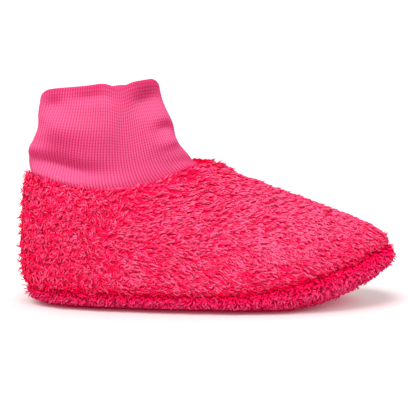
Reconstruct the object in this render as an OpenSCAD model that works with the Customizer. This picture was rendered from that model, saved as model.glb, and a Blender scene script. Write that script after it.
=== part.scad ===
// Soft bootie: two plush side panels and a plush sole round a padded insole, with a folded rib-knit cuff.
// +X points at the toe, +Z up, and the origin is on the floor under the middle of the boot. Millimetres.

/* [Foot] */
// Outside length, from the pile at the heel to the pile at the toe
foot_length = 130; // [110:1:145]
// Outside width at the heel
heel_width = 48; // [42:1:54]
// Outside width at the ball of the foot
ball_width = 57; // [50:1:64]
// Height of the sole's underside at the very toe
toe_spring = 10.5; // [6:0.5:14]
// Height of the seam between sole and upper, from the heel to the arch
seam_height = 7; // [6:0.5:8]
// Height of the same seam at the toe
toe_seam_height = 21; // [18:0.5:24]

/* [Collar] */
// Height of the upper's top edge at the heel
collar_back_height = 44.5; // [40:0.5:48]
// How far that edge dips at the sides of the ankle
collar_dip = 4; // [2:0.5:6]
// Height of the upper's top edge at the instep
collar_front_height = 50; // [47:0.5:54]
// Outside width across the ankle at that edge
collar_width = 35; // [32:1:42]

/* [Cuff] */
// Height of the cuff's fold at the back
cuff_back_height = 75; // [70:1:80]
// Height of the cuff's fold at the front
cuff_front_height = 78.5; // [74:0.5:84]
// Length of the flattened mouth, fold to fold
mouth_length = 42; // [38:1:46]
// Width of the flattened mouth outside
mouth_width = 12; // [10:0.5:18]

/* [Cloth] */
// Thickness of the plush, ground and pile together
plush = 3; // [2.5:0.1:3.2]
// Thickness of the jersey lining and of the insole
jersey = 1; // [0.8:0.1:1.2]
// Thickness of the doubled rib knit
rib = 2.6; // [2:0.1:2.8]
// Radius of the sewing thread
thread = 0.32; // [0.25:0.01:0.35]
// Distance from one stitch to the next
stitch_pitch = 3.2; // [2.8:0.1:4]

/* [Hidden] */

plush_pink = [0.96, 0.20, 0.42];
rib_pink = [0.97, 0.33, 0.55];
jersey_pink = [0.98, 0.55, 0.68];
wadding_white = [0.95, 0.95, 0.94];
thread_pink = [0.80, 0.10, 0.32];

seam_gap = 0.8;      // between two edges that are sewn together, which the thread fills
ply_gap = 0.12;      // between cloths that lie on each other
pile_bulge = 2.5;    // how far the pile swells past the sole's seam
sole_roll = 7;       // how far the flat of the sole stays inside its seam
columns = 30;        // from heel to toe, on each side
rows = 12;           // from the sole's seam to the collar
seam_half = foot_length / 2 - pile_bulge;
collar_front = -1.5;
collar_middle = (collar_front - foot_length / 2 + 1.3) / 2;
collar_half = collar_front - collar_middle;
mouth_middle = -37;
toe_top = [seam_half - 1, toe_seam_height + 4.8];
spring_start = 22;

// ---- curves ----

function mix(a, b, t) = a + (b - a) * t;
function smooth(t) = let (c = max(0, min(1, t))) c * c * (3 - 2 * c);
function bend(a, b, c, d, t) =
    pow(1 - t, 3) * a + 3 * pow(1 - t, 2) * t * b + 3 * (1 - t) * t * t * c + pow(t, 3) * d;
function signed_power(v, p) = sign(v) * pow(abs(v), p);
function steps(n) = [for (i = [0:n]) i / n];

// Half the outside width at the seam, at a place along the foot
function half_width(x) =
    let (wide = smooth((x + 0.35 * foot_length) / (0.6 * foot_length)))
    mix(heel_width, ball_width, wide) / 2 - pile_bulge + 0.8;
// Heights along the foot: the seam, the sole's underside and the straight line of the instep
function seam_z(x) =
    seam_height + (toe_seam_height - seam_height) * pow(max(0, (x - 8) / (seam_half - 8)), 1.6);
function under_z(x) = toe_spring * pow(max(0, (x - spring_start) / (seam_half - spring_start)), 2.3);
function instep_z(x) =
    mix(collar_front_height, toe_top.y, (x - collar_front) / (toe_top.x - collar_front));

// The foot's outline, u from 0 at the heel to 1 at the toe on the side that s says, drawn in by inset
function outline(u, s, inset) =
    let (round = mix(0.78, 0.96, smooth(u)), a = 180 * u,
        x = -signed_power(cos(a), round) * (seam_half - inset))
    [x, s * pow(sin(a), round) * max(0, half_width(x) - inset), 0];
// The way out from the foot, level, at the same place
function outward(u, s) = let (a = 180 * u) [-cos(a), s * sin(a), 0];

// Where a column of the upper that starts at u meets the collar, as an angle from the back
function collar_angle(u) = 180 * (1 - pow(1 - u, 1.9));
function collar_z(a) =
    mix(collar_back_height, collar_front_height, pow((1 - cos(a)) / 2, 2.5)) - collar_dip * pow(sin(a), 4);
function collar(u, s) =
    let (a = collar_angle(u))
    [collar_middle - signed_power(cos(a), 0.92) * collar_half,
        s * pow(sin(a), 0.92) * collar_width / 2, collar_z(a)];

// The four points that bend one column of the upper, each with the direction that the cloth's thickness takes
function tilted(u, s, angle) = outward(u, s) * cos(angle) + [0, 0, sin(angle)];
function column_points(u, s) =
    let (foot = outline(u, s, 0), low = foot + [0, 0, seam_z(foot.x) + seam_gap / 2], top = collar(u, s),
        rise = min(top.z, instep_z(foot.x)) - low.z, front = smooth((u - 0.35) / 0.65),
        out = outward(u, s), reach = mix(0.33, 0.45, front))
    [low,
        low + out * mix(4.4, 2.4, front) + [0, 0, rise * mix(0.03, 0.55, front) + 3 * front * front],
        [mix(top.x, foot.x, reach), mix(top.y, foot.y, reach + 0.12 * front * sin(180 * u)),
            top.z - (top.z - low.z) * mix(0.33, 0.415, front) + 3 * front * sin(180 * u)]
            + out * (1 - front),
        top];
function column_ways(u, s) =
    let (front = smooth((u - 0.35) / 0.65))
    [outward(u, s), tilted(u, s, 45 * front), tilted(u, s, 66 * front), tilted(u, s, 66 * front)];
// A point of the upper: u along the foot, t from the sole's seam to the collar, deep under the outer surface
function upper_point(u, t, s, deep) =
    let (p = column_points(u, s), w = column_ways(u, s))
    bend(p[0] - w[0] * deep, p[1] - w[1] * deep, p[2] - w[2] * deep, p[3] - w[3] * deep, t);

// The cuff: angle a from the back, w from 0 at the collar to 1 at the fold
function cuff_foot(a, deep) =
    let (b = a > 180 ? 360 - a : a, s = a > 180 ? -1 : 1, u = 1 - pow(1 - b / 180, 1 / 1.9))
    upper_point(u, 1, s, plush + ply_gap + deep);
function mouth(a, deep) =
    [mouth_middle - cos(a) * (mouth_length / 2 - deep), sin(a) * (mouth_width / 2 - deep),
        mix(cuff_back_height, cuff_front_height, (1 - cos(a)) / 2) - rib / 2];
function cuff_point(a, w, deep) =
    let (low = cuff_foot(a, deep), top = mouth(a, deep), front = smooth((1 - cos(a)) / 2))
    bend(low, low + mix([-2.3, 0, 9.6], [-8, 0, 5], front) - [0, sin(a) * 1.5, 0],
        top - mix([0, 0, 11.7], [-3.4, 0, 15], front) + [0, sin(a) * 6, 0], top, w);
// The share of a column that the cuff's raw edge reaches down inside, and that edge, v from 0 at its end
function tuck(u) = mix(0.1, 0.055, smooth(u));
function cuff_tuck(a, v, deep) =
    let (b = a > 180 ? 360 - a : a, s = a > 180 ? -1 : 1, u = 1 - pow(1 - b / 180, 1 / 1.9))
    upper_point(u, 1 - tuck(u) * (1 - v), s, plush + ply_gap + deep);

// ---- skins ----

function flat(list) = [for (part = list) each part];
function quad(a, b, c, d) = [[a, b, c], [a, c, d]];
// A band of faces from each ring of n points to the next
function bands(rings, n, looped) =
    flat([for (r = [0:rings - (looped ? 1 : 2)]) for (i = [0:n - 1])
        let (next = ((r + 1) % rings) * n, j = (i + 1) % n)
        quad(r * n + i, r * n + j, next + j, next + i)]);
// Strips across a ring that is the same on both sides, from its first point to the one opposite
function strips(start, n, up) =
    flat([for (i = [0:n / 2 - 1])
        let (a = start + i, b = start + i + 1, c = start + n - i - 1, d = start + (n - i) % n,
            faces = a == d ? [[a, b, c]] : b == c ? [[a, b, d]] : quad(a, b, c, d))
        up ? faces : [for (f = faces) [f[2], f[1], f[0]]]]);

// A solid from rings stacked on each other, shut at both ends, or joined end to end when looped
module stack(rings, looped = false) {
    n = len(rings[0]);
    last = (len(rings) - 1) * n;
    polyhedron(points = flat(rings),
        faces = looped ? bands(len(rings), n, true)
            : concat(bands(len(rings), n, false), strips(0, n, false), strips(last, n, true)));
}

// A sheet from its outer rows and its inner rows. Each row runs the same way.
module sheet(outer, inner, mirrored) {
    loops = [for (i = [0:len(outer) - 1]) concat(outer[i], [for (j = [len(inner[i]) - 1:-1:0]) inner[i][j]])];
    n = len(loops[0]);
    end = (len(loops) - 1) * n;
    caps = flat([for (j = [0:n / 2 - 2]) concat(
        quad(n - 1 - j, n - 2 - j, j + 1, j), quad(end + j, end + j + 1, end + n - 2 - j, end + n - 1 - j))]);
    faces = concat(bands(len(loops), n, false), caps);
    polyhedron(points = flat(loops), faces = mirrored ? faces : [for (f = faces) [f[2], f[1], f[0]]]);
}

// ---- stitches ----

function running(points, i = 1, total = 0, done = [0]) =
    i == len(points) ? done
    : let (now = total + norm(points[i] - points[i - 1])) running(points, i + 1, now, concat(done, [now]));
function along(points, lengths, d) =
    [for (k = [0:2]) lookup(d, [for (i = [0:len(points) - 1]) [lengths[i], points[i][k]]])];

module stitch(from, to) {
    way = to - from;
    translate(from) rotate([0, acos(way.z / norm(way)), atan2(way.y, way.x)])
        cylinder(h = norm(way), r = thread, $fn = 24);
}

// Dashes of thread along a path, one for each pitch, with a short gap where the thread goes under
module stitches(points) {
    lengths = running(points);
    whole = lengths[len(lengths) - 1];
    count = floor(whole / stitch_pitch);
    pitch = whole / count;
    for (i = [0:count - 1])
        stitch(along(points, lengths, (i + 0.12) * pitch), along(points, lengths, (i + 0.88) * pitch));
}

// ---- the pieces ----

// One cloth of the upper, from one depth to another, on one side, stopping short of the middle plane
module side_cloth(s, from, to, whole) {
    lift = from == 0 ? 0 : -seam_gap / 2 + ply_gap;
    function row(u, deep) = [for (t = steps(rows))
        let (p = upper_point(u, t * (whole ? 1 : 0.98 - tuck(u)), s, deep) + [0, 0, lift * (1 - t)])
        [p.x, p.y + s * seam_gap / 2, p.z]];
    sheet([for (u = steps(columns)) row(u, from)], [for (u = steps(columns)) row(u, to)], s < 0);
}

module upper(s) {
    color(plush_pink) side_cloth(s, 0, plush, true);
}

module lining(s) {
    color(jersey_pink) side_cloth(s, plush + ply_gap, plush + ply_gap + jersey, false);
}

// A ring round the foot from a rule for one side, so that both sides are the same
function round_foot(n) = [for (i = [0:2 * n - 1]) i <= n ? [i / n, 1] : [2 - i / n, -1]];
function seam_ring(inset) =
    [for (k = round_foot(columns))
        let (p = outline(k[0], k[1], inset))
        [p.x, p.y, seam_z(outline(k[0], k[1], 0).x)]];
function lifted(ring, dz) = [for (p = ring) p + [0, 0, dz]];
// Rings of the sole's rounded edge, from its rim down to the flat
function sole_ring(v, deep) =
    [for (k = round_foot(columns))
        let (rim = outline(k[0], k[1], 0), flat_edge = outline(k[0], k[1], sole_roll + deep * 0.3),
            out = outward(k[0], k[1]), z = seam_z(rim.x) - seam_gap / 2, floor_z = under_z(rim.x) + deep,
            swell = mix(0.6, pile_bulge * 2.8, smooth((k[0] - 0.55) / 0.45)))
        bend(rim - out * deep + [0, 0, z], rim + out * (swell - deep) + [0, 0, mix(z, floor_z, 0.45)],
            mix(rim, flat_edge, 0.35) - out * deep * 0.5 + [0, 0, floor_z],
            flat_edge + [0, 0, floor_z], v)];

module outsole() {
    color(plush_pink)
        stack(concat(
            [for (v = [1:-0.2:-0.01]) sole_ring(v, 0)],
            [for (v = [0:0.2:1.01]) sole_ring(v, plush)]));
}

module sole_wadding() {
    color(wadding_white)
        stack(concat([for (v = [1:-0.25:0.2]) sole_ring(v, plush + ply_gap)],
            [lifted(seam_ring(plush + ply_gap + 0.3), -seam_gap / 2 - jersey - ply_gap)]));
}

module insole() {
    ring = seam_ring(plush + ply_gap);
    color(jersey_pink) stack([lifted(ring, -seam_gap / 2 - jersey), lifted(ring, -seam_gap / 2)]);
}

module rib_cuff() {
    angles = [for (i = [0:2 * columns - 1]) i * 180 / columns];
    function around(f) = [for (a = angles) f(a)];
    color(rib_pink) stack(looped = true, concat(
        [for (v = [0, 0.5]) around(function(a) cuff_tuck(a, v, 0))],
        [for (w = steps(rows)) around(function(a) cuff_point(a, w, 0))],
        [around(function(a) mouth(a, rib * 0.25) + [0, 0, rib * 0.4]),
            around(function(a) mouth(a, rib * 0.75) + [0, 0, rib * 0.4])],
        [for (w = [rows:-1:0]) around(function(a) cuff_point(a, w / rows, rib))],
        [for (v = [0.5, 0]) around(function(a) cuff_tuck(a, v, rib))]));
}

// The line half-way through the plush where two of its edges meet
function middle_seam(u, from) =
    [for (t = steps(40))
        let (p = upper_point(u, mix(from, 0.985, t), 1, plush / 2))
        [p.x, 0, p.z]];

module vamp_seam_stitches() {
    color(thread_pink) stitches(middle_seam(1, 0.06));
}

module heel_seam_stitches() {
    color(thread_pink) stitches(middle_seam(0, 0.03));
}

module sole_seam_stitches() {
    ring = seam_ring(plush / 2);
    color(thread_pink) stitches(concat(ring, [ring[0]]));
}

module collar_seam_stitches() {
    // in the corner between the plush's top edge and the cuff
    edge = [for (i = [0:72]) cuff_foot((i % 72) * 5, -thread - ply_gap / 2) + [0, 0, thread + 0.1]];
    color(thread_pink) stitches(edge);
}

module cuff_closing_stitches() {
    // down the back of the cuff, on the outside of its doubled cloth
    color(thread_pink) stitches([for (w = steps(20)) cuff_point(0, mix(0.06, 0.97, w), -thread - 0.05)]);
}

module lining_seam_stitches() {
    function line(u) = [for (t = steps(40))
        let (p = upper_point(u, mix(0.08, 0.85, t), 1, plush + ply_gap + jersey / 2)) [p.x, 0, p.z]];
    color(jersey_pink) {
        stitches(line(0));
        stitches(line(1));
    }
}

upper(1);  // upper_left
upper(-1);  // upper_right
outsole();
sole_wadding();
insole();
lining(1);  // lining_left
lining(-1);  // lining_right
rib_cuff();
vamp_seam_stitches();
heel_seam_stitches();
sole_seam_stitches();
collar_seam_stitches();
cuff_closing_stitches();
lining_seam_stitches();
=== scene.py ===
"""Looks of the soft bootie: curly plush, fine rib knit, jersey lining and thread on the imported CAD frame."""

import math

import bmesh
import bpy
import numpy as np
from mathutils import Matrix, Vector, noise


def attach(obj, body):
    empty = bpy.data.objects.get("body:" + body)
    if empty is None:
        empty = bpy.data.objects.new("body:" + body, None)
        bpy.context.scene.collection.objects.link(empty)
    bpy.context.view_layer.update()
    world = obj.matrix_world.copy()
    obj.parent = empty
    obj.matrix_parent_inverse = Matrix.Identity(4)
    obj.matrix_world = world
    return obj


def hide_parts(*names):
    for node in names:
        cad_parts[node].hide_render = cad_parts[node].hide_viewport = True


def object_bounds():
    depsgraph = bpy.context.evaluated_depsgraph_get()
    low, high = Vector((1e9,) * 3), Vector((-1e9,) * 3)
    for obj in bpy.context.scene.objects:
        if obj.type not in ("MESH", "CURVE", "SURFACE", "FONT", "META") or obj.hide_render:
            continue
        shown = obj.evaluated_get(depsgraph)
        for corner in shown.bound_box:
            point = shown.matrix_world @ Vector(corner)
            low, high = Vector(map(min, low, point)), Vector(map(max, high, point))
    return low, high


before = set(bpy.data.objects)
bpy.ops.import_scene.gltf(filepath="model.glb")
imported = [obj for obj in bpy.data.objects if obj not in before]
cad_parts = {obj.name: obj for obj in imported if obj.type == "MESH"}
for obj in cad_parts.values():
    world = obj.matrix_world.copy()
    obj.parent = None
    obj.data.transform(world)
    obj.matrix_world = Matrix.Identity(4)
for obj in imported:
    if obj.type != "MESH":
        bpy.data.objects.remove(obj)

noise.seed_set(3)     # without a seed, the noise changes with the time of day
CAD_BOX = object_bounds()
MM = 0.001

# ---- the form, in millimetres: the same rules as the CAD solids ----

FOOT_LENGTH = 130.0
HEEL_WIDTH, BALL_WIDTH = 48.0, 57.0
TOE_SPRING, SPRING_START = 10.5, 22.0
SEAM_HEIGHT, TOE_SEAM_HEIGHT = 7.0, 21.0
COLLAR_BACK, COLLAR_DIP, COLLAR_FRONT, COLLAR_WIDTH = 44.5, 4.0, 50.0, 35.0
CUFF_BACK, CUFF_FRONT = 75.0, 78.5
MOUTH_LENGTH, MOUTH_WIDTH, MOUTH_MIDDLE = 42.0, 12.0, -37.0
PLUSH, JERSEY, RIB = 3.0, 1.0, 2.6
SEAM_GAP, PLY_GAP, PILE_BULGE, SOLE_ROLL = 0.8, 0.12, 2.5, 7.0
SEAM_HALF = FOOT_LENGTH / 2 - PILE_BULGE
COLLAR_FRONT_X = -1.5
COLLAR_POWER = 0.92   # a little squarer than an ellipse
COLLAR_SPREAD = 1.9   # draws the columns of the upper together towards the collar's front
COLLAR_MIDDLE = (COLLAR_FRONT_X - FOOT_LENGTH / 2 + 1.3) / 2
COLLAR_HALF = COLLAR_FRONT_X - COLLAR_MIDDLE
TOE_TOP_X, TOE_TOP_Z = SEAM_HALF - 1, TOE_SEAM_HEIGHT + 4.8

# the pile and the knit
GROUND = 1.0          # how far the plush's ground lies under the pile's mean surface
RIBS = 120            # wales round the cuff
COURSES = 36          # rows of stitches from the collar to the fold
COURSE_RINGS = 3      # rings of points in each course
HEM, HEM_RINGS = 0.1, 4   # how far the cuff goes on below the collar, as a share of its height
LOCK_RINGS, LOCK_SIDES = 5, 5   # of the mesh of each lock
PILE_COURSES = 32     # rows of tufts from the sole's seam to the collar
UPPER_RISE = 40.0     # about how far the upper reaches above the sole's seam
EDGE_DROP = 11.0      # about how far the sole's edge reaches below it
JOINED = 0.001        # points nearer than this are one point
GOLDEN = 0.6180339887    # steps of this share of a line fill it evenly
SCATTER_CELLS = 180, 60  # columns and rows in which a surface's area is measured

# the slack folds of the cuff on its near side: middle in x, middle in height as a share, half width in x,
# half height as a share, and how far out. Then those at its back and front, without the two in x.
NEAR_FOLDS = ((-20, 0.87, 4.5, 0.10, -2.8), (-50, 0.64, 14.0, 0.16, 1.7), (-50, 0.23, 13.0, 0.10, -2.1),
              (-53, 0.87, 3.5, 0.09, -1.6), (-14.5, 0.61, 3.0, 0.06, -0.9), (-13, 0.45, 4.0, 0.08, 1.0),
              (-39.5, 0.93, 6.0, 0.05, -0.9), (-52, 0.06, 13.0, 0.08, 0.8))
BACK_FOLDS = ((0.16, 0.10, 0.5), (0.36, 0.10, 0.9), (0.66, 0.12, -1.1), (0.95, 0.2, -0.4))
FRONT_FOLDS = ((0.68, 0.12, 0.8), (0.26, 0.14, 0.9), (0.06, 0.09, 0.8), (0.95, 0.12, -0.4))

# lock colours, linear: root, body and tip. The dark root and body are painted shade, deep in the pile and on
# each lock's underside
UPPER_COLOUR_AND_SHADE = (0.98, 0.0003, 0.046), (0.80, 0.006, 0.080), (0.84, 0.113, 0.248)
SOLE_COLOUR_AND_SHADE = (0.96, 0.0008, 0.076), (0.85, 0.019, 0.135), (0.87, 0.112, 0.275)


def mix(a, b, t):
    return a + (b - a) * t


def smooth(t):
    t = np.clip(t, 0.0, 1.0)
    return t * t * (3 - 2 * t)


def signed_power(v, p):
    return np.sign(v) * np.abs(v) ** p


def vec(x, y, z):
    return np.stack(np.broadcast_arrays(x, y, z), axis=-1).astype(float)


def up(z):
    return vec(0.0, 0.0, z)


def fit(t):
    """A number for each point, shaped so that it multiplies vectors."""
    return np.asarray(t, float)[..., None]


def unit(v):
    return v / np.maximum(np.linalg.norm(v, axis=-1, keepdims=True), 1e-9)


def bend(a, b, c, d, t):
    t = fit(t)
    return (1 - t) ** 3 * a + 3 * (1 - t) ** 2 * t * b + 3 * (1 - t) * t * t * c + t ** 3 * d


def half_width(x):
    """Half the foot's width inside its pile, widest at the ball."""
    wide = smooth((x + 0.35 * FOOT_LENGTH) / (0.6 * FOOT_LENGTH))
    return mix(HEEL_WIDTH, BALL_WIDTH, wide) / 2 - PILE_BULGE + 0.8


def seam_z(x):
    """Height of the seam between sole and upper."""
    return SEAM_HEIGHT + (TOE_SEAM_HEIGHT - SEAM_HEIGHT) * np.maximum(0, (x - 8) / (SEAM_HALF - 8)) ** 1.6


def under_z(x):
    """Height of the sole's underside, which turns up at the toe."""
    return TOE_SPRING * np.maximum(0, (x - SPRING_START) / (SEAM_HALF - SPRING_START)) ** 2.3


def instep_z(x):
    """Height of the straight line from the collar's front to the toe."""
    return mix(COLLAR_FRONT, TOE_TOP_Z, (x - COLLAR_FRONT_X) / (TOE_TOP_X - COLLAR_FRONT_X))


def outline(u, s, inset):
    """The foot's outline, u from 0 at the heel to 1 at the toe, on side s."""
    power, a = mix(0.78, 0.96, smooth(u)), math.pi * np.asarray(u, float)
    x = -signed_power(np.cos(a), power) * (SEAM_HALF - inset)
    y = s * np.maximum(np.sin(a), 0) ** power * np.maximum(0, half_width(x) - inset)
    return vec(x, y, 0.0)


def outward(u, s):
    """The level direction out of the foot."""
    a = math.pi * np.asarray(u, float)
    return vec(-np.cos(a), s * np.sin(a), 0.0)


def collar(u, s):
    """The collar's edge, lowest at the ankle's sides."""
    a = math.pi * (1 - (1 - np.asarray(u, float)) ** COLLAR_SPREAD)
    sine = np.maximum(np.sin(a), 0)
    z = mix(COLLAR_BACK, COLLAR_FRONT, ((1 - np.cos(a)) / 2) ** 2.5) - COLLAR_DIP * sine ** 4
    return vec(COLLAR_MIDDLE - signed_power(np.cos(a), COLLAR_POWER) * COLLAR_HALF,
               s * sine ** COLLAR_POWER * COLLAR_WIDTH / 2, z)


def upper(u, t, s, deep):
    """A point of the upper, u along the foot and t from the sole's seam to the collar, sunk to a depth."""
    foot = outline(u, s, 0)
    low = foot + up(seam_z(foot[..., 0]) + SEAM_GAP / 2)
    top = collar(u, s)
    rise = np.minimum(top[..., 2], instep_z(foot[..., 0])) - low[..., 2]
    front, sine, out = smooth((np.asarray(u) - 0.35) / 0.65), np.sin(math.pi * np.asarray(u)), outward(u, s)
    reach = mix(0.33, 0.45, front)
    second = low + out * fit(mix(4.4, 2.4, front)) + up(rise * mix(0.03, 0.55, front) + 3 * front ** 2)
    third = vec(mix(top[..., 0], foot[..., 0], reach),
                mix(top[..., 1], foot[..., 1], reach + 0.12 * front * sine),
                top[..., 2] - (top[..., 2] - low[..., 2]) * mix(0.33, 0.415, front) + 3 * front * sine)
    third = third + out * fit(1 - front)

    def sunk(p, degrees):
        tilt = np.radians(degrees) * front
        return p - (out * fit(np.cos(tilt)) + up(np.sin(tilt))) * fit(deep)

    return bend(sunk(low, 0), sunk(second, 45), sunk(third, 66), sunk(top, 66), t)


def sole_edge(u, s, v, deep):
    """The sole's rounded edge, v from 0 at its rim to 1 where it lies flat."""
    rim, flat = outline(u, s, 0), outline(u, s, SOLE_ROLL + np.asarray(deep) * 0.3)
    out = outward(u, s)
    high, low = seam_z(rim[..., 0]) - SEAM_GAP / 2, under_z(rim[..., 0]) + deep
    swell = mix(0.6, PILE_BULGE * 2.8, smooth((np.asarray(u) - 0.55) / 0.45))
    return bend(rim - out * fit(deep) + up(high),
                rim + out * fit(swell - deep) + up(mix(high, low, 0.45)),
                mix(rim, flat, 0.35) - out * fit(deep) * 0.5 + up(low), flat + up(low), v)


def sole_under(u, s, k, deep):
    """The flat under the foot, k from 0 at its edge to 1 on the middle line."""
    edge = sole_edge(u, s, 1.0, deep)
    return edge * vec(1.0, 1 - np.asarray(k, float), 1.0)


# ---- meshes ----

def build(name, points, faces, uvs, material, attributes=None):
    """A smooth mesh from millimetres. faces and uvs are matching lists, an array for each kind of face."""
    mesh = bpy.data.meshes.new(name)
    mesh.vertices.add(len(points))
    mesh.vertices.foreach_set("co", (np.asarray(points) * MM).ravel())
    sizes = np.concatenate([np.full(len(f), f.shape[1]) for f in faces])
    mesh.loops.add(int(sizes.sum()))
    mesh.loops.foreach_set("vertex_index", np.concatenate([f.ravel() for f in faces]).astype(np.int32))
    mesh.polygons.add(len(sizes))
    mesh.polygons.foreach_set("loop_start", (np.cumsum(sizes) - sizes).astype(np.int32))
    mesh.polygons.foreach_set("use_smooth", np.ones(len(sizes), bool))
    layer = mesh.uv_layers.new(name="OFBake")
    layer.data.foreach_set("uv", np.concatenate([c.reshape(-1, 2) for c in uvs]).ravel().astype(np.float32))
    for key, values in (attributes or {}).items():
        field = mesh.attributes.new(key, "FLOAT", "POINT")
        field.data.foreach_set("value", np.asarray(values, np.float32).ravel())
    mesh.update(calc_edges=True)
    mesh.validate()
    mesh.materials.append(material)
    piece = bpy.data.objects.new(name, mesh)
    bpy.context.scene.collection.objects.link(piece)
    return piece


def patch(ids, corner, size, flip=False):
    """Quads over a grid of vertex numbers, laid out in its own rectangle of the UV square."""
    a, b = np.meshgrid(np.linspace(0, 1, ids.shape[0]), np.linspace(0, 1, ids.shape[1]), indexing="ij")
    uv = np.stack([corner[0] + a * size[0], corner[1] + b * size[1]], -1)

    def corners(grid):
        ring = [grid[:-1, :-1], grid[1:, :-1], grid[1:, 1:], grid[:-1, 1:]]
        return np.stack(ring[::-1] if flip else ring, -2 if grid.ndim == 3 else -1)

    return corners(ids).reshape(-1, 4), corners(uv).reshape(-1, 4, 2)


def slab(name, outer, inner, material, flip=False):
    """A cloth with two skins of m by n points and four closed borders."""
    m, n = outer.shape[:2]
    front = np.arange(m * n).reshape(m, n)
    back = front + m * n
    parts = [patch(front, (0.01, 0.01), (0.47, 0.9), flip), patch(back, (0.52, 0.01), (0.47, 0.9), not flip)]
    borders = [(front[:, 0], back[:, 0], False), (front[:, -1], back[:, -1], True),
               (front[0], back[0], True), (front[-1], back[-1], False)]
    for i, (a, b, turned) in enumerate(borders):
        parts.append(patch(np.stack([a, b], 1), (0.01, 0.92 + 0.018 * i), (0.97, 0.012), turned == flip))
    points = np.concatenate([outer.reshape(-1, 3), inner.reshape(-1, 3)])
    return build(name, points, [p[0] for p in parts], [p[1] for p in parts], material)


def tube_of_rings(name, rings, material, looped, attributes=None):
    """A skin through closed rings of points. looped joins the last ring to the first."""
    m, n = rings.shape[:2]
    ids = np.arange(m * n).reshape(m, n)
    ids = np.concatenate([ids, ids[:, :1]], 1)
    if looped:
        ids = np.concatenate([ids, ids[:1]])
    faces, uvs = patch(ids, (0.005, 0.005), (0.99, 0.99))
    return build(name, rings.reshape(-1, 3), [faces], [uvs], material, attributes)


def merged(piece, distance):
    """The piece with points that meet joined, and its faces turned outward."""
    work = bmesh.new()
    work.from_mesh(piece.data)
    bmesh.ops.remove_doubles(work, verts=work.verts, dist=distance * MM)
    bmesh.ops.dissolve_degenerate(work, edges=work.edges, dist=distance * MM * 0.1)
    bmesh.ops.recalc_face_normals(work, faces=work.faces)
    work.to_mesh(piece.data)
    work.free()
    return piece


def noisy(points, size, seed):
    """Smooth noise in three directions at each point, about -1 to 1, with lumps of a size in millimetres."""
    shift = Vector((seed * 17.3, seed * 5.1, seed * 9.7))
    flat = (np.asarray(points).reshape(-1, 3) / size).tolist()
    return np.array([noise.noise_vector(Vector(p) + shift) for p in flat]).reshape(np.shape(points)) * 1.6


# ---- nodes ----

class Shader:
    """A material under construction: its Principled shader and short ways to add nodes."""

    def __init__(self, name, **constants):
        self.material = bpy.data.materials.new(name)
        self.material.use_nodes = True
        self.nodes, self.links = self.material.node_tree.nodes, self.material.node_tree.links
        self.nodes.clear()
        self.end = self.nodes.new("ShaderNodeOutputMaterial")
        self.surface = self.nodes.new("ShaderNodeBsdfPrincipled")
        self.links.new(self.surface.outputs["BSDF"], self.end.inputs["Surface"])
        for key, value in constants.items():
            self.surface.inputs[key.replace("_", " ")].default_value = value

    def put(self, kind, inputs=(), **settings):
        made = self.nodes.new("ShaderNode" + kind)
        for key, value in settings.items():
            setattr(made, key, value)
        for slot, value in dict(inputs).items():
            if isinstance(value, bpy.types.NodeSocket):
                self.links.new(value, made.inputs[slot])
            else:
                made.inputs[slot].default_value = value
        return made

    def math(self, operation, a, b=0.0, c=0.0):
        return self.put("Math", {0: a, 1: b, 2: c}, operation=operation).outputs[0]

    def attribute(self, name):
        return self.put("Attribute", attribute_name=name).outputs["Fac"]

    def noise(self, scale, detail=3.0, distortion=0.0, where=None):
        where = where or self.put("TexCoord").outputs["Object"]
        return self.put("TexNoise", {"Vector": where, "Scale": scale, "Detail": detail,
                                     "Distortion": distortion}).outputs["Fac"]

    def ramp(self, factor, *stops):
        made = self.put("ValToRGB", {"Fac": factor})
        for i, (place, colour) in enumerate(stops):
            stop = made.color_ramp.elements[i] if i < 2 else made.color_ramp.elements.new(place)
            stop.position, stop.color = place, (*colour, 1.0)
        return made.outputs["Color"]

    def scaled(self, colour, amount):
        """The colour, made lighter or darker by an amount about 1."""
        return self.put("HueSaturation", {"Color": colour, "Value": amount}).outputs["Color"]

    def feed(self, socket, value):
        self.links.new(value, self.surface.inputs[socket])

    def bumped(self, height, distance, strength=1.0):
        self.feed("Normal", self.put("Bump", {"Height": height, "Distance": distance * MM,
                                              "Strength": strength}).outputs["Normal"])


def plush_material(name, root, body, tip, tuft_side):
    """Locks of pile, streaked along by their fibres, with painted shade: dark at the root and on each lock's
    underside, bright at the tip and on its outer side.
    """
    m = Shader(name, Roughness=0.9, Specular_IOR_Level=0.02)
    # painted shade: the tip attribute picks the dark root and underside colours or the bright tip colour
    colour = m.ramp(m.attribute("tip"), (0.34, root), (0.96, tip), (0.71, body))
    uv = m.put("UVMap", uv_map="OFBake").outputs["UV"]
    grain = (tuft_side * 9.0, tuft_side * 1.6, 1.0)
    streaks = m.put("Mapping", {"Vector": uv, "Scale": grain}).outputs["Vector"]
    fibres = m.noise(1.0, 2.0, where=streaks)
    tone = m.math("MULTIPLY_ADD", fibres, 0.34, -0.17)
    m.feed("Base Color", m.scaled(colour, m.math("ADD", m.attribute("tone"), tone)))
    return m.material


def ground_material():
    """The knitted ground that the pile grows from, seen only between the locks. Its dark, mottled colour is
    painted shade, standing for locks in shadow.
    """
    m = Shader("plush_ground", Roughness=0.95, Specular_IOR_Level=0.0)
    fuzz = m.noise(1300.0, 4.0, 1.5)
    # painted shade: a deep, dark red in blotches the size of locks
    m.feed("Base Color", m.ramp(fuzz, (0.4, (0.62, 0.0005, 0.036)), (0.66, (0.84, 0.022, 0.100))))
    m.bumped(fuzz, 0.6)
    return m.material


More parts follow.
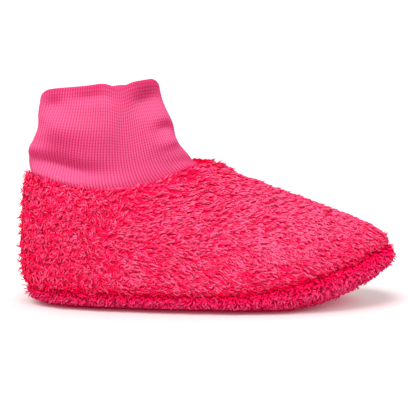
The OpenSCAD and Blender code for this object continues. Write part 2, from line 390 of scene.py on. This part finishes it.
def knit_height(m, wales, courses):
    """Height of V-shaped stitches, from UV: wales across, courses along."""
    uv = m.put("SeparateXYZ", {0: m.put("UVMap", uv_map="OFBake").outputs["UV"]})
    along, across = uv.outputs["X"], uv.outputs["Y"]
    column = m.math("MULTIPLY", across, float(wales))
    arm = m.math("ABSOLUTE", m.math("SUBTRACT", m.math("FRACT", column), 0.5))
    slant = m.math("SUBTRACT", m.math("MULTIPLY", along, float(courses)), m.math("MULTIPLY", arm, 1.1))
    loop = m.math("SINE", m.math("MULTIPLY", slant, 2 * math.pi))
    edge = m.math("COSINE", m.math("MULTIPLY", arm, 4 * math.pi))
    return m.math("MULTIPLY_ADD", loop, 0.35, m.math("MULTIPLY", edge, -0.4))


def rib_material(row_share):
    """Fine rib knit. Its ribs are in the mesh; the stitches on them, lint, colour, and painted shade in the
    grooves and on the folds are here.
    """
    m = Shader("rib_knit", Roughness=0.85, Specular_IOR_Level=0.05)
    # painted shade: darker, deeper pink in the rib's grooves and pits and on the folds' downward slopes
    knit_colour = m.ramp(m.attribute("groove"), (0.0, (0.67, 0.100, 0.235)), (1.0, (0.62, 0.014, 0.108)),
                 (0.45, (0.62, 0.044, 0.150)))
    lint = m.math("MULTIPLY_ADD", m.noise(1600.0, 3.0), 0.16, 0.92)
    blotch = m.math("MULTIPLY_ADD", m.noise(70.0, 3.0), 0.1, -0.05)
    m.feed("Base Color", m.scaled(knit_colour, m.math("ADD", lint, blotch)))
    stitches = knit_height(m, RIBS, row_share)
    m.bumped(m.math("MULTIPLY_ADD", m.noise(2600.0, 3.0), 0.8, stitches), 0.06, 0.5)
    return m.material


def jersey_material(name, light, dark, wales, courses):
    m = Shader(name, Roughness=0.85, Sheen_Weight=0.3, Sheen_Roughness=0.5, Specular_IOR_Level=0.2)
    knit_colour = m.ramp(m.noise(90.0, 4.0), (0.3, dark), (0.7, light))
    height = knit_height(m, wales, courses)
    # painted shade: darker where the stitches sink, lighter on their loops
    m.feed("Base Color", m.scaled(knit_colour, m.math("MULTIPLY_ADD", height, 0.12, 1.0)))
    m.bumped(height, 0.12)
    return m.material


def wadding_material():
    m = Shader("wadding_fibre", Roughness=0.95, Sheen_Weight=0.5, Sheen_Roughness=0.6, Specular_IOR_Level=0.1)
    strands = m.noise(420.0, 6.0, 1.8)
    m.feed("Base Color", m.ramp(strands, (0.3, (0.72, 0.70, 0.68)), (0.7, (0.93, 0.92, 0.90))))
    m.bumped(strands, 0.5)
    return m.material


def thread_material(name, light, dark):
    """Two-ply sewing thread, twisted, with painted shade in the grooves of its twist."""
    m = Shader(name, Roughness=0.7, Specular_IOR_Level=0.15)
    where = m.put("TexCoord").outputs["Object"]
    twist = m.put("TexWave", {"Vector": where, "Scale": 900.0, "Distortion": 1.5, "Detail": 1.0},
                  bands_direction="DIAGONAL").outputs["Fac"]
    # painted shade: dark in the twist's grooves, light on the plies
    m.feed("Base Color", m.ramp(twist, (0.2, dark), (0.8, light)))
    m.bumped(twist, 0.08)
    return m.material


# ---- pile ----

def scatter(surface, density, rng, u_span=(0.0, 1.0), t_span=(0.0, 1.0)):
    """Even places (u, t) over a surface, with a density for each square millimetre."""
    columns, rows = SCATTER_CELLS
    u, t = np.meshgrid(np.linspace(*u_span, columns + 1), np.linspace(*t_span, rows + 1), indexing="ij")
    p = surface(u, t)
    cells = np.linalg.norm(np.cross(p[1:, :-1] - p[:-1, :-1], p[:-1, 1:] - p[:-1, :-1]), axis=-1)
    count = int(cells.sum() * density)
    k = np.arange(count) + 0.5
    across = np.concatenate([[0.0], np.cumsum(cells.sum(1))])
    column = np.interp(k / count * across[-1], across, np.arange(len(across)))
    column = np.clip(column + rng.normal(0, 0.25, count), 0, columns - 0.001)
    share = (k * GOLDEN + rng.normal(0, 0.012, count)) % 1.0
    row = np.empty(count)
    for c in range(columns):
        here = column.astype(int) == c
        along = np.concatenate([[0.0], np.cumsum(cells[c])])
        row[here] = np.interp(share[here] * along[-1], along, np.arange(len(along)))
    return mix(*u_span, column / columns), mix(*t_span, row / rows)


def seam_pull(height):
    """How far the sewing draws the ground in at a height above or below the sole's seam."""
    return 0.5 * np.exp(-(height / 2.4) ** 2)


def collar_roll(u, t):
    """How far the collar's edge rolls in towards the cuff, most at the back."""
    return mix(0.8, 0.1, smooth(u / 0.6)) * smooth((t - 0.88) / 0.12)


def hem_share(u):
    """How much of the upper, down from the collar, has the cuff's hem and no lining behind it."""
    return mix(0.1, 0.055, smooth(u))


def frame_on(surface, u, t, s):
    """Points of a surface, its outward normals there, and the way along it in which t grows."""
    e = 1e-3
    u0, t0 = np.clip(u, e, 1 - e), np.clip(t, e, 1 - e)
    along = surface(u0 + e, t0) - surface(u0 - e, t0)
    rising = surface(u0, t0 + e) - surface(u0, t0 - e)
    return surface(u, t), unit(np.cross(along, rising)) * -s, unit(rising)


def locks(name, roots, normals, combs, length, radius, lean, curl, tone, painted_shade_and_tone, material, floor=None):
    """Closed, tapered, curling locks of pile, one for each root.

    lean holds how far a lock leans from the normal at its root and at its tip, on the side it is combed to.
    Each lock's own darkening, painted shade and random tone together, takes away from how far it shows its
    bright tip. No point of a lock goes under the floor.
    """
    n, rings, sides = len(roots), LOCK_RINGS, LOCK_SIDES
    side = np.cross(normals, combs)
    phase = np.arange(n) * 2.4
    spine, ways = [roots], []
    for k in range(rings):
        m = (k + 0.5) / rings
        fall = mix(lean[0], lean[1], m ** 0.8) + 0.25 * np.sin(6.0 * m + 1.7 * phase)
        turn = curl * (m - 0.3) + 0.5 * np.sin(6.5 * m + phase)
        level = combs * fit(np.cos(turn)) + side * fit(np.sin(turn))
        way = normals * fit(np.cos(fall)) + level * fit(np.sin(fall))
        ways.append(way)
        spine.append(spine[-1] + way * fit(length / rings))
    points, painted_lock_shade = [], []
    for k in range(rings):
        q = k / rings
        way = ways[k] if k == 0 else unit(ways[k] + ways[k - 1])
        across = unit(np.cross(way, normals))
        rise = np.cross(across, way)
        thick = radius * (0.9 + 0.3 * q) * (1 - q ** 4) ** 0.6
        for j in range(sides):
            a = 2 * math.pi * (j + 0.25) / sides
            wide, high = thick * 1.15 * math.cos(a), thick * 0.85 * math.sin(a)
            points.append(spine[k] + across * fit(wide) + rise * fit(high))
            # painted shade: darker at the root and on the lock's underside, brighter on its outer side
            painted_lock_shade.append(0.35 * q + 0.65 * smooth(0.5 + 0.5 * math.sin(a)) - painted_shade_and_tone)
    points.append(spine[rings])
    painted_lock_shade.append(0.9 - painted_shade_and_tone)
    points = np.stack(points, 1)
    if floor is not None:
        points[..., 2] = np.maximum(points[..., 2], floor(points))
    return lock_mesh(name, points, np.stack(painted_lock_shade, 1), tone, material)


def lock_mesh(name, points, painted_lock_shade, tone, material):
    """The faces of locks whose points are rings and a tip, each with its own cell of the UV square."""
    n, each = points.shape[:2]
    sides = LOCK_SIDES
    rings = (each - 1) // sides
    top = sides * (rings - 1)
    quads, quad_uv, tris, tri_uv = [], [], [], []
    for j in range(sides):
        i = (j + 1) % sides
        for k in range(0, top, sides):
            quads.append([k + j, k + sides + j, k + sides + i, k + i])
            quad_uv.append([(j, k), (j, k + sides), (j + 1, k + sides), (j + 1, k)])
        tris.append([top + j, each - 1, top + i])
        tri_uv.append([(j, top), (j + 0.5, top + sides), (j + 1, top)])
    for j in range(1, sides - 1):
        tris.append([0, j, j + 1])
        tri_uv.append([(0, 0), (j, 0), (j + 1, 0.2)])
    across = math.ceil(math.sqrt(n))
    cell = np.stack([np.arange(n) % across, np.arange(n) // across], -1)[:, None, None, :]
    start = np.arange(n)[:, None, None] * each

    def placed(local):
        return (cell + 0.08 + 0.84 * np.array(local, float)[None] / (sides, top + sides)) / across

    faces = [(start + np.array(quads)[None]).reshape(-1, 4), (start + np.array(tris)[None]).reshape(-1, 3)]
    uvs = [placed(quad_uv).reshape(-1, 4, 2), placed(tri_uv).reshape(-1, 3, 2)]
    attributes = {"tip": painted_lock_shade, "tone": np.repeat(tone[:, None], each, 1)}
    return build(name, points.reshape(-1, 3), faces, uvs, material, attributes)


def on_surface(direction, normals):
    """The part of a direction that lies along the surface."""
    return unit(direction - normals * fit((direction * normals).sum(-1)))


def in_courses(t, wander, rng):
    """Heights on the upper drawn together into the wavy courses that the plush is knitted in."""
    row = t * PILE_COURSES + 0.7 * wander
    row = mix(row, np.round(row) + rng.normal(0, 0.12, len(row)), 0.75)
    return np.clip((row - 0.7 * wander) / PILE_COURSES, 0, 1)


def upper_pile(name, s, span, material, seed):
    """Pile of one part of a side panel: tight curls at the heel, combed towards the toe on the vamp."""
    rng = np.random.default_rng(seed)

    def surface(u, t):
        return upper(u, t, s, GROUND + 0.25 + seam_pull(t * UPPER_RISE) + collar_roll(u, t))

    u, t = scatter(surface, 2.4, rng, span)
    t = in_courses(t, noisy(surface(u, t), 7.0, seed + 2)[..., 0], rng)
    roots, normals, rising = frame_on(surface, u, t, s)
    n, x, z = len(u), roots[:, 0], roots[:, 2]

    # shares of each part of the foot, from 0 to 1
    heel = smooth((-22 - x) / 26)
    toe = smooth((x - 46) / 14) * smooth((24 - z) / 10)
    vamp = smooth((x + 8) / 30) * smooth((z - (seam_z(x) + 3)) / 14)
    wild = np.maximum(heel, toe)
    edge, hem, front = smooth((t - 0.93) / 0.07), smooth((0.07 - t) / 0.07), smooth((u - 0.3) / 0.3)
    crest = smooth((t - 0.86) / 0.1) * smooth((u - 0.75) / 0.15)
    near_seam = np.exp(-(t * UPPER_RISE / 2.2) ** 2)

    # which way each lock is combed
    wave = noisy(roots, 2.6, seed)
    broad = noisy(roots, 9.0, seed + 1)
    slope = np.radians(mix(4.0, 21.0, vamp) + 14 * broad[:, 0])
    combed = on_surface(vec(np.cos(slope), 0 * slope, -np.sin(slope)), normals)
    spin = wave[:, 0] * mix(0.4, 3.0, wild) + rng.normal(0, mix(0.2, 0.7, wild))
    combs = combed * fit(np.cos(spin)) + np.cross(normals, combed) * fit(np.sin(spin))
    combs = on_surface(combs + rising * fit((1.1 - 0.5 * front) * edge - 1.1 * hem), normals)

    # how it stands and curls, its random tone and its painted shade
    stray = (rng.random(n) < mix(0.006, 0.07, heel)).astype(float)
    lean = (np.radians(mix(46.0, 42.0, wild) - 20 * stray) + rng.normal(0, 0.12, n),
            np.radians(98.0 - 6 * edge - 35 * stray - 30 * crest) + rng.normal(0, 0.15, n))
    length = mix(3.5, 3.3, wild) * rng.uniform(0.8, 1.2, n) * (1 - 0.15 * vamp)
    length = length * (1 - (0.15 + 0.2 * front) * edge + 0.15 * stray + 0.5 * crest)
    radius = 0.29 * rng.uniform(0.8, 1.2, n) * (1 - 0.4 * stray)
    curl = rng.normal(0, mix(0.6, 1.8, wild))
    tone = 1.0 + rng.normal(0, 0.07, n)
    # painted shade by the sole's seam and on the upright heel and toe pile, painted light on the upward vamp;
    # the rest is random tone
    painted_shade_and_tone = 0.4 * near_seam - mix(0.05, 0.03, vamp) * broad[:, 1] - 0.09 * vamp + 0.04 * wild
    painted_shade_and_tone = painted_shade_and_tone + rng.normal(0, 0.09, n)
    roots = roots + normals * fit(0.2 * broad[:, 2] - 0.1)
    return locks(name, roots, normals, combs, length, radius, lean, curl, tone, painted_shade_and_tone, material)


def sole_pile(name, s, surface_rule, density, long, material, seed):
    """Pile of one side of the sole: shaggy round its edge, short and trodden flat underneath, and painted
    darker underneath, towards the floor and by the seam.
    """
    rng = np.random.default_rng(seed)
    rim = 1.0 if surface_rule is sole_edge else 0.0

    def surface(u, t):
        return surface_rule(u, s, t, GROUND + 0.2 + rim * seam_pull(t * EDGE_DROP))

    u, t = scatter(surface, density, rng)
    roots, normals, _ = frame_on(surface, u, t, -s)
    n = len(u)
    wave = noisy(roots, 2.2, seed)
    down = on_surface(up(-1.0) + outward(u, s) * 0.4 + wave * 0.5, normals)
    spin = wave[:, 0] * 1.2 + rng.normal(0, 0.6, n)
    combs = down * fit(np.cos(spin)) + np.cross(normals, down) * fit(np.sin(spin))
    flat = np.abs(normals[:, 2]) ** 3
    stray = (rng.random(n) < 0.15 * (1 - flat)).astype(float)
    lean = (np.radians(mix(26.0, 40.0, flat)) + rng.normal(0, 0.15, n),
            np.radians(mix(76.0, 95.0, flat) - 30 * stray) + rng.normal(0, 0.2, n))
    near_seam = rim * np.exp(-(t * EDGE_DROP / 2.0) ** 2)
    length = long * rng.uniform(0.75, 1.25, n) * mix(1.0, 0.7, flat) * (1 - 0.3 * near_seam + 0.3 * stray)
    radius = mix(0.31, 0.42, flat) * rng.uniform(0.75, 1.25, n) * (1 - 0.4 * stray)
    # painted shade: darker on the downward-facing underside, and on the next line towards the floor
    tone = 0.95 + 0.05 * wave[:, 2] + rng.normal(0, 0.05, n) - 0.1 * flat
    tone = tone - 0.4 * smooth(1 - (roots[:, 2] - under_z(roots[:, 0])) / 6.0)
    # painted shade: darker by the seam and underneath; the rest is random tone
    painted_shade_and_tone = 0.03 + 0.4 * near_seam + 0.2 * flat - 0.05 * wave[:, 1] + rng.normal(0, 0.09, n)
    curl = rng.normal(0, 1.6, n)
    edge_line, out = outline(u, s, 0)[:, None], outward(u, s)[:, None]

    def floor(points):
        """The lowest a lock may reach: the underside, which is rounded up towards the rim."""
        inward = ((edge_line - points) * out).sum(-1)
        return under_z(points[..., 0]) + 0.03 + 2.1 * smooth(1 - inward / 8.0)

    return locks(name, roots, normals, combs, length, radius, lean, curl, tone, painted_shade_and_tone, material, floor)


# ---- the cuff ----

def collar_u(a):
    """The column of the upper that stands at an angle round the collar, and its side."""
    a = np.mod(a, 2 * math.pi)
    near = a > math.pi
    turned = np.where(near, 2 * math.pi - a, a)
    return 1 - (1 - turned / math.pi) ** (1 / COLLAR_SPREAD), np.where(near, -1.0, 1.0)


def cuff_foot(a, t, deep):
    """The cuff's cloth where it lies inside the upper, at an angle and at t of the upper."""
    u, s = collar_u(a)
    near, far = (upper(u, t, side, PLUSH + PLY_GAP + deep) for side in (-1.0, 1.0))
    return np.where(fit(s) < 0, near, far)


def hump(x, middle, wide):
    return np.exp(-((x - middle) / wide) ** 2)


def mouth(a, deep):
    """The cuff's fold, with rounded corners. Its far side has slumped, and the near one sags in one place."""
    cosine, sine = np.cos(a), np.sin(a)
    half = MOUTH_LENGTH / 2
    x = MOUTH_MIDDLE - cosine * (half - deep)
    z = mix(CUFF_BACK, CUFF_FRONT, (1 - cosine) / 2) - RIB / 2
    corner = np.where(cosine > 0, 2.5, 1.9)
    inside = np.clip((corner - half * (1 - np.abs(cosine))) / corner, 0, 1)
    z = z - corner * (1 - np.sqrt(1 - inside ** 2)) * 0.9
    near = smooth(-sine * 4) * (0.35 * hump(x, -36, 4) - 1.6 * hump(x, -30.2, 3.4))
    far = smooth(sine * 4) * (2.7 - 0.9 * hump(x, -30.2, 6.0))
    return vec(x, sine * (MOUTH_WIDTH / 2 - deep), z + near - far - 0.5 * hump(x, -57, 4))


def cuff(a, w, deep):
    """The cuff: angle a from the back, w from 0 at the collar to 1 at the fold."""
    low, top, front = cuff_foot(a, 1.0, deep), mouth(a, deep), smooth((1 - np.cos(a)) / 2)
    sine = np.sin(a)
    lower = low + vec(mix(-2.3, -8.0, front), -1.5 * sine, mix(9.6, 5.0, front))
    higher = top - vec(mix(0.0, -3.4, front), -6 * sine, mix(11.7, 15.0, front))
    return bend(low, lower, higher, top, w)


def wale_angles(phases, w):
    """Angles at which the wales stand at one height: spread by length of cloth, and crowded at the front."""
    a = np.linspace(0, 2 * math.pi, 721)
    ring = cuff(a, np.full(a.shape, max(w, 0.0)), 0.0)
    length = np.concatenate([[0.0], np.cumsum(np.linalg.norm(np.diff(ring, axis=0), axis=1))])
    level = np.where(a < math.pi, (1 - np.cos(a)) / 4, 1 - (1 - np.cos(a)) / 4)
    spread = mix(length / length[-1], level, 0.4)
    spread = spread - 0.04 * max(w, 0.0) * np.sin(a) * np.abs(np.sin(a))
    return np.interp(phases, spread, a)


def cuff_rows():
    """(height, depth, share of the rib's relief) of each ring of the doubled cloth, from hem to hem."""
    outer, turns, inner = COURSES * COURSE_RINGS, 7, 15    # steps up outside, over the fold, down inside
    rows = [(-HEM + HEM / HEM_RINGS * i, 0.0, 0.4) for i in range(HEM_RINGS)]
    rows += [(i / outer, 0.0, 1.0) for i in range(outer + 1)]
    for i in range(1, turns):
        around = math.pi * i / turns
        deep = RIB / 2 * (1 - math.cos(around))
        rows.append((1.0 + 1e-6 + RIB / 2 * math.sin(around), deep, 1.0 - 0.5 * i / turns))
    rows += [(1 - i / inner, RIB, 0.5) for i in range(inner + 1)]
    return rows + [(-HEM / 2, RIB, 0.4), (-HEM, RIB, 0.4)]


def slack(p, a, w):
    """How far the slack knit stands out at a point of the cuff, in millimetres."""
    x, near = p[..., 0], smooth(-np.sin(a) * 3)

    def stacked(folds):
        return sum(out * hump(w, height, tall) for height, tall, out in folds)

    side = sum(out * hump(x, place, wide) * hump(w, height, tall)
               for place, height, wide, tall, out in NEAR_FOLDS)
    cosine = np.cos(a)
    back = smooth((cosine - 0.6) * 3) * stacked(BACK_FOLDS)
    front = smooth((-cosine - 0.6) * 3) * stacked(FRONT_FOLDS)
    soft = noisy(p, 13.0, 3)[..., 0] * 0.7 * smooth(w * 4) * smooth((1.05 - w) * 5)
    return side * near + back + front + soft


def rib_relief(phase, w):
    """Height of the rib knit, with a pit in the grooves at each course, and how deep in one a point is."""
    across = np.abs(np.mod(phase * RIBS, 1.0) - 0.5) * 2
    groove = smooth((across - 0.4) / 0.6)
    pit = 0.5 + 0.5 * np.cos(2 * math.pi * w * COURSES)
    height = -groove * (0.22 + 0.26 * pit) - 0.09 * pit * (1 - groove)
    return height, groove * (0.4 + 0.6 * pit) + 0.2 * pit * (1 - groove)


def rib_cuff():
    """One closed tube of doubled rib knit. Gives the rings of points of its outer skin."""
    beats = np.array([0.0, 0.14, 0.32, 0.5, 0.68, 0.86])     # where points stand across a rib and its groove
    phases = ((np.arange(RIBS)[:, None] + beats[None]) / RIBS).ravel()
    rows = cuff_rows()
    rings, grooves = [], []
    for w, deep, share in rows:
        level, lift = min(w, 1.0), max(w - 1.0, 0.0)
        a = wale_angles(phases, level)
        if w < 0:
            ring = cuff_foot(a, 1 + w / HEM * hem_share(collar_u(a)[0]), deep)
        else:
            ring = cuff(a, np.full(a.shape, level), deep) + up(lift)
        way = np.roll(ring, -1, 0) - np.roll(ring, 1, 0)
        out = unit(vec(-way[:, 1], way[:, 0], 0.0))
        height, groove = rib_relief(phases, max(level, 0.0))
        loose = slack(ring, a, np.full(a.shape, max(level, 0.0)))
        above, below = (slack(ring, a, np.full(a.shape, level + step)) for step in (0.03, -0.03))
        # painted shade on the folds: darker where the cloth faces down, lighter where it faces up
        painted_fold_shade = smooth(0.5 + (above - below) * 0.7) - 0.5
        sign = 1.0 if deep < RIB * 0.5 else -1.0
        rings.append(ring + out * fit(loose + sign * share * height))
        # the groove attribute is painted shade: in the rib's grooves and pits, and on the folds
        grooves.append(groove * share + 0.5 * painted_fold_shade)
    rings = np.stack(rings)
    material = rib_material(len(rows) / COURSE_RINGS)
    piece = tube_of_rings("cuff_rib_knit", rings, material, True, {"groove": np.stack(grooves)})
    settle(merged(piece, JOINED), "rib_knit", "rib_cuff")
    return rings[HEM_RINGS:HEM_RINGS + COURSES * COURSE_RINGS + 1]


# ---- thread ----

def thread_run(name, line, pitch, radius, material):
    """Dashes of thread along a line of points, each bowed and dipping into the cloth at its ends."""
    lengths = np.concatenate([[0.0], np.cumsum(np.linalg.norm(np.diff(line, axis=0), axis=1))])
    count = int(lengths[-1] // pitch)
    curve = bpy.data.curves.new(name, "CURVE")
    curve.dimensions, curve.bevel_depth, curve.bevel_resolution = "3D", radius * MM, 3
    curve.use_fill_caps = True
    for i in range(count):
        along = np.linspace(i + 0.1, i + 0.9, 7) * lengths[-1] / count
        ends = np.interp(along, lengths, np.arange(len(lengths)))
        p = np.stack([np.interp(ends, np.arange(len(line)), line[:, k]) for k in range(3)], 1)
        spline = curve.splines.new("POLY")
        spline.points.add(len(p) - 1)
        for j, point in enumerate(p):
            spline.points[j].co = (*(point * MM), 1.0)
            spline.points[j].radius = 0.75 + 0.25 * math.sin(math.pi * j / (len(p) - 1))
    curve.materials.append(material)
    piece = bpy.data.objects.new(name, curve)
    bpy.context.scene.collection.objects.link(piece)
    return piece


# ---- the pieces ----

def settle(piece, slot, *nodes):
    """Hides the CAD parts that the piece stands for and puts it on the root body. slot is not used."""
    if nodes:
        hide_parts(*nodes)
    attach(piece, "root")


def panel_grid():
    """Places (u, t) all over one half of the upper."""
    return np.meshgrid(np.linspace(0, 1, 97), np.linspace(0, 1, 37), indexing="ij")


def panels(ground):
    """The knitted ground of the upper's two halves."""
    for side, s in (("left", 1.0), ("right", -1.0)):
        u, t = panel_grid()
        shift = vec(0.0, s * SEAM_GAP / 2, 0.0)
        deep = GROUND + seam_pull(t * UPPER_RISE) + collar_roll(u, t)
        outer, inner = upper(u, t, s, deep) + shift, upper(u, t, s, PLUSH) + shift
        piece = merged(slab("ground_upper_" + side, outer, inner, ground, s > 0), JOINED)
        settle(piece, "upper_plush", "upper_" + side)


def linings(jersey):
    """The lining's two halves, lightly puckered."""
    for side, s in (("left", 1.0), ("right", -1.0)):
        u, t = panel_grid()
        t = t * (0.98 - hem_share(u))    # it stops short of the hem
        shift = vec(0.0, s * SEAM_GAP / 2, 0.0)
        skins = [upper(u, t, s, PLUSH + PLY_GAP + d) + shift for d in (0.0, JERSEY)]
        swell = 0.25 * noisy(skins[0], 7.0, 5)[..., 0] * smooth(t * 6) + 0.25
        pucker = unit(skins[1] - skins[0]) * fit(swell)
        skins = [skin + pucker for skin in skins]
        piece = merged(slab("lining_jersey_" + side, *skins, jersey, s > 0), JOINED)
        settle(piece, "lining_jersey", "lining_" + side)


def ring_of(rule):
    """A closed ring round the foot from a rule for one side."""
    u = np.linspace(0, 1, 73)    # 72 steps on each side
    left, right = rule(u, 1.0), rule(u, -1.0)
    return np.concatenate([left, right[-2:0:-1]])


def sole_ground(ground):
    """The knitted ground of the sole: a tray, from the middle underneath round to the middle inside."""
    rings = [ring_of(lambda u, s: sole_under(u, s, k, GROUND)) for k in np.linspace(1, 0.1, 10)]
    rings += [ring_of(lambda u, s: sole_edge(u, s, v, GROUND + seam_pull(v * EDGE_DROP)))
              for v in np.linspace(1, 0, 19)]
    rings += [ring_of(lambda u, s: sole_edge(u, s, v, PLUSH)) for v in np.linspace(0, 1, 13)]
    rings += [ring_of(lambda u, s: sole_under(u, s, k, PLUSH)) for k in np.linspace(0.1, 1, 10)]
    piece = tube_of_rings("ground_sole", np.stack(rings), ground, False)
    settle(merged(piece, 0.01), "sole_plush", "outsole")


def wadding(material):
    """The pad that fills the sole's tray, a little lumpy."""
    deep = PLUSH + PLY_GAP

    def top(u, s, k):
        edge = sole_edge(u, s, 0.15, deep)
        lid = seam_z(outline(u, s, 0)[..., 0]) - SEAM_GAP / 2 - JERSEY - PLY_GAP
        return vec(edge[..., 0], edge[..., 1] * (1 - k), lid)

    rings = [ring_of(lambda u, s: sole_under(u, s, k, deep)) for k in np.linspace(1, 0.1, 8)]
    rings += [ring_of(lambda u, s: sole_edge(u, s, v, deep)) for v in np.linspace(1, 0.2, 8)]
    rings += [ring_of(lambda u, s: top(u, s, k)) for k in np.linspace(0.05, 1, 10)]
    rings = np.stack(rings)
    rings = rings + noisy(rings, 6.0, 8) * vec(0.15, 0.15, 0.15)
    piece = merged(tube_of_rings("wadding_in_sole", rings, material, False), 0.6)
    settle(piece, "wadding", "sole_wadding")


def insole(jersey):
    """The insole, with rolled edges and a hollow that a heel has trodden."""
    u, c = np.meshgrid(np.linspace(0.02, 0.98, 97), np.linspace(-1, 1, 41), indexing="ij")
    edge = outline(u, 1.0, PLUSH + PLY_GAP)
    z = seam_z(outline(u, 1.0, 0)[..., 0]) - SEAM_GAP / 2
    rolled = 0.45 * np.abs(c) ** 8
    tread = 0.35 * np.exp(-((edge[..., 0] + 40) / 14) ** 2 - c ** 2 * 2)
    skin = vec(edge[..., 0], edge[..., 1] * c, z - rolled - tread)
    under = vec(edge[..., 0], edge[..., 1] * c, z - JERSEY + rolled * 0.4)
    piece = merged(slab("insole_jersey", skin, under, jersey), JOINED)
    settle(piece, "lining_jersey", "insole")


def threads(cuff_skin):
    """Thread materials on the CAD stitches, and the cuff's closing seam, redrawn on its slack skin."""
    pink = thread_material("thread_pink", (0.84, 0.02, 0.11), (0.66, 0.006, 0.06))
    pale = thread_material("thread_pale", (0.85, 0.25, 0.42), (0.62, 0.12, 0.25))
    for name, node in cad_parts.items():
        if name.endswith("_stitches"):
            for place in node.material_slots:
                place.link = "OBJECT"
                place.material = pale if name.startswith("lining") else pink
    back = cuff_skin[:, 0] - vec(0.12, 0.0, 0.0)
    piece = thread_run("closing_stitches", back[4:-3], pitch=3.2, radius=0.3, material=pink)
    settle(piece, "sewing_thread", "cuff_closing_stitches")


# ---- stage ----

def sky():
    """A white tent, brightest all round at the level of the floor's edge."""
    world = bpy.data.worlds.new("tent")
    world.use_nodes = True
    nodes, links = world.node_tree.nodes, world.node_tree.links
    height = nodes.new("ShaderNodeSeparateXYZ")
    links.new(nodes.new("ShaderNodeTexCoord").outputs["Generated"], height.inputs[0])
    fade = nodes.new("ShaderNodeValToRGB")
    low, high = fade.color_ramp.elements
    low.position, low.color, high.position, high.color = 0.05, (1.0,) * 4, 0.3, (0.5, 0.5, 0.5, 1.0)
    links.new(height.outputs["Z"], fade.inputs["Fac"])
    links.new(fade.outputs["Color"], nodes["Background"].inputs["Color"])
    nodes["Background"].inputs["Strength"].default_value = 1.02
    return world


def studio():
    """A white, glowing floor with a painted contact shadow and painted pink bounce near the bootie, and one
    soft light from above.
    """
    bpy.ops.mesh.primitive_circle_add(vertices=64, radius=60.0, fill_type="NGON", location=(0, 0, 0))
    floor = bpy.context.object
    floor.name = "studio_floor"
    m = Shader("floor_glow_painted_shadow", Roughness=0.9, Specular_IOR_Level=0.1, Emission_Strength=0.42)
    # painted bounce light: the floor's colour turns pink where the bootie is near
    around = m.put("AmbientOcclusion", {"Distance": 0.05}).outputs["AO"]
    m.feed("Base Color", m.ramp(around, (0.5, (0.50, 0.30, 0.31)), (1.0, (0.5, 0.5, 0.5))))
    # painted contact shadow: the floor's glow turns dark crimson where the bootie is close over it
    near = m.put("AmbientOcclusion", {"Distance": 0.02}).outputs["AO"]
    m.feed("Emission Color", m.ramp(near, (0.05, (0.4, 0.01, 0.06)), (0.34, (1.0, 1.0, 1.0)),
                                    (0.18, (1.0, 0.5, 0.58))))
    floor.data.materials.append(m.material)
    bpy.context.scene.world = sky()
    sun = bpy.data.lights.new("softbox", "SUN")
    sun.energy, sun.angle = 3.7, math.radians(35)
    lamp = bpy.data.objects.new("softbox", sun)
    lamp.rotation_euler = Vector((0.15, 0.4, -1.0)).to_track_quat("-Z", "Y").to_euler()
    bpy.context.scene.collection.objects.link(lamp)
    bpy.context.scene.view_settings.view_transform = "Standard"


def camera():
    """A long lens that looks at the bootie's right side from a little above."""
    low, high = CAD_BOX
    middle = (low + high) / 2
    aim = Vector((middle.x + 1.1 * MM, middle.y, middle.z - 6.9 * MM))
    data = bpy.data.cameras.new("camera")
    data.lens, data.clip_start = 200.0, 0.05
    across = 1.127 * (high.x - low.x)
    distance = across / 2 / (data.sensor_width / 2 / data.lens)
    tilt = math.radians(10.0)
    eye = bpy.data.objects.new("camera", data)
    eye.location = aim + distance * Vector((0.0, -math.cos(tilt), math.sin(tilt)))
    eye.rotation_euler = (aim - eye.location).to_track_quat("-Z", "Y").to_euler()
    bpy.context.scene.collection.objects.link(eye)
    bpy.context.scene.camera = eye


def plush_pile():
    """All the locks, in pieces small enough for the export to keep every face."""
    upper_plush = plush_material("plush_upper", *UPPER_COLOUR_AND_SHADE, tuft_side=90)
    sole_plush = plush_material("plush_sole", *SOLE_COLOUR_AND_SHADE, tuft_side=70)
    # part, and where it starts and ends along the foot
    spans = (("heel", 0.0, 0.28), ("waist", 0.28, 0.46), ("instep", 0.46, 0.66), ("toe", 0.66, 1.0))
    # part, surface, locks for each square millimetre, their length, and a seed
    sole_parts = (("edge", sole_edge, 2.4, 2.8, 7), ("under", sole_under, 0.8, 2.0, 8))
    for side, s, seed in (("left", 1.0, 1), ("right", -1.0, 2)):
        for i, (part, start, end) in enumerate(spans):
            piece = upper_pile(f"pile_{part}_{side}", s, (start, end), upper_plush, seed * 10 + i)
            settle(piece, "upper_plush")
        for part, rule, density, long, i in sole_parts:
            piece = sole_pile(f"pile_sole_{part}_{side}", s, rule, density, long, sole_plush, seed * 10 + i)
            settle(piece, "sole_plush")


def main():
    camera()
    studio()
    ground = ground_material()
    jersey = jersey_material("lining_jersey", (0.84, 0.24, 0.40), (0.76, 0.18, 0.33), 240, 300)
    insole_jersey = jersey_material("insole_jersey", (0.84, 0.24, 0.40), (0.74, 0.17, 0.32), 90, 210)
    panels(ground)
    sole_ground(ground)
    linings(jersey)
    wadding(wadding_material())
    insole(insole_jersey)
    threads(rib_cuff())
    plush_pile()


main()
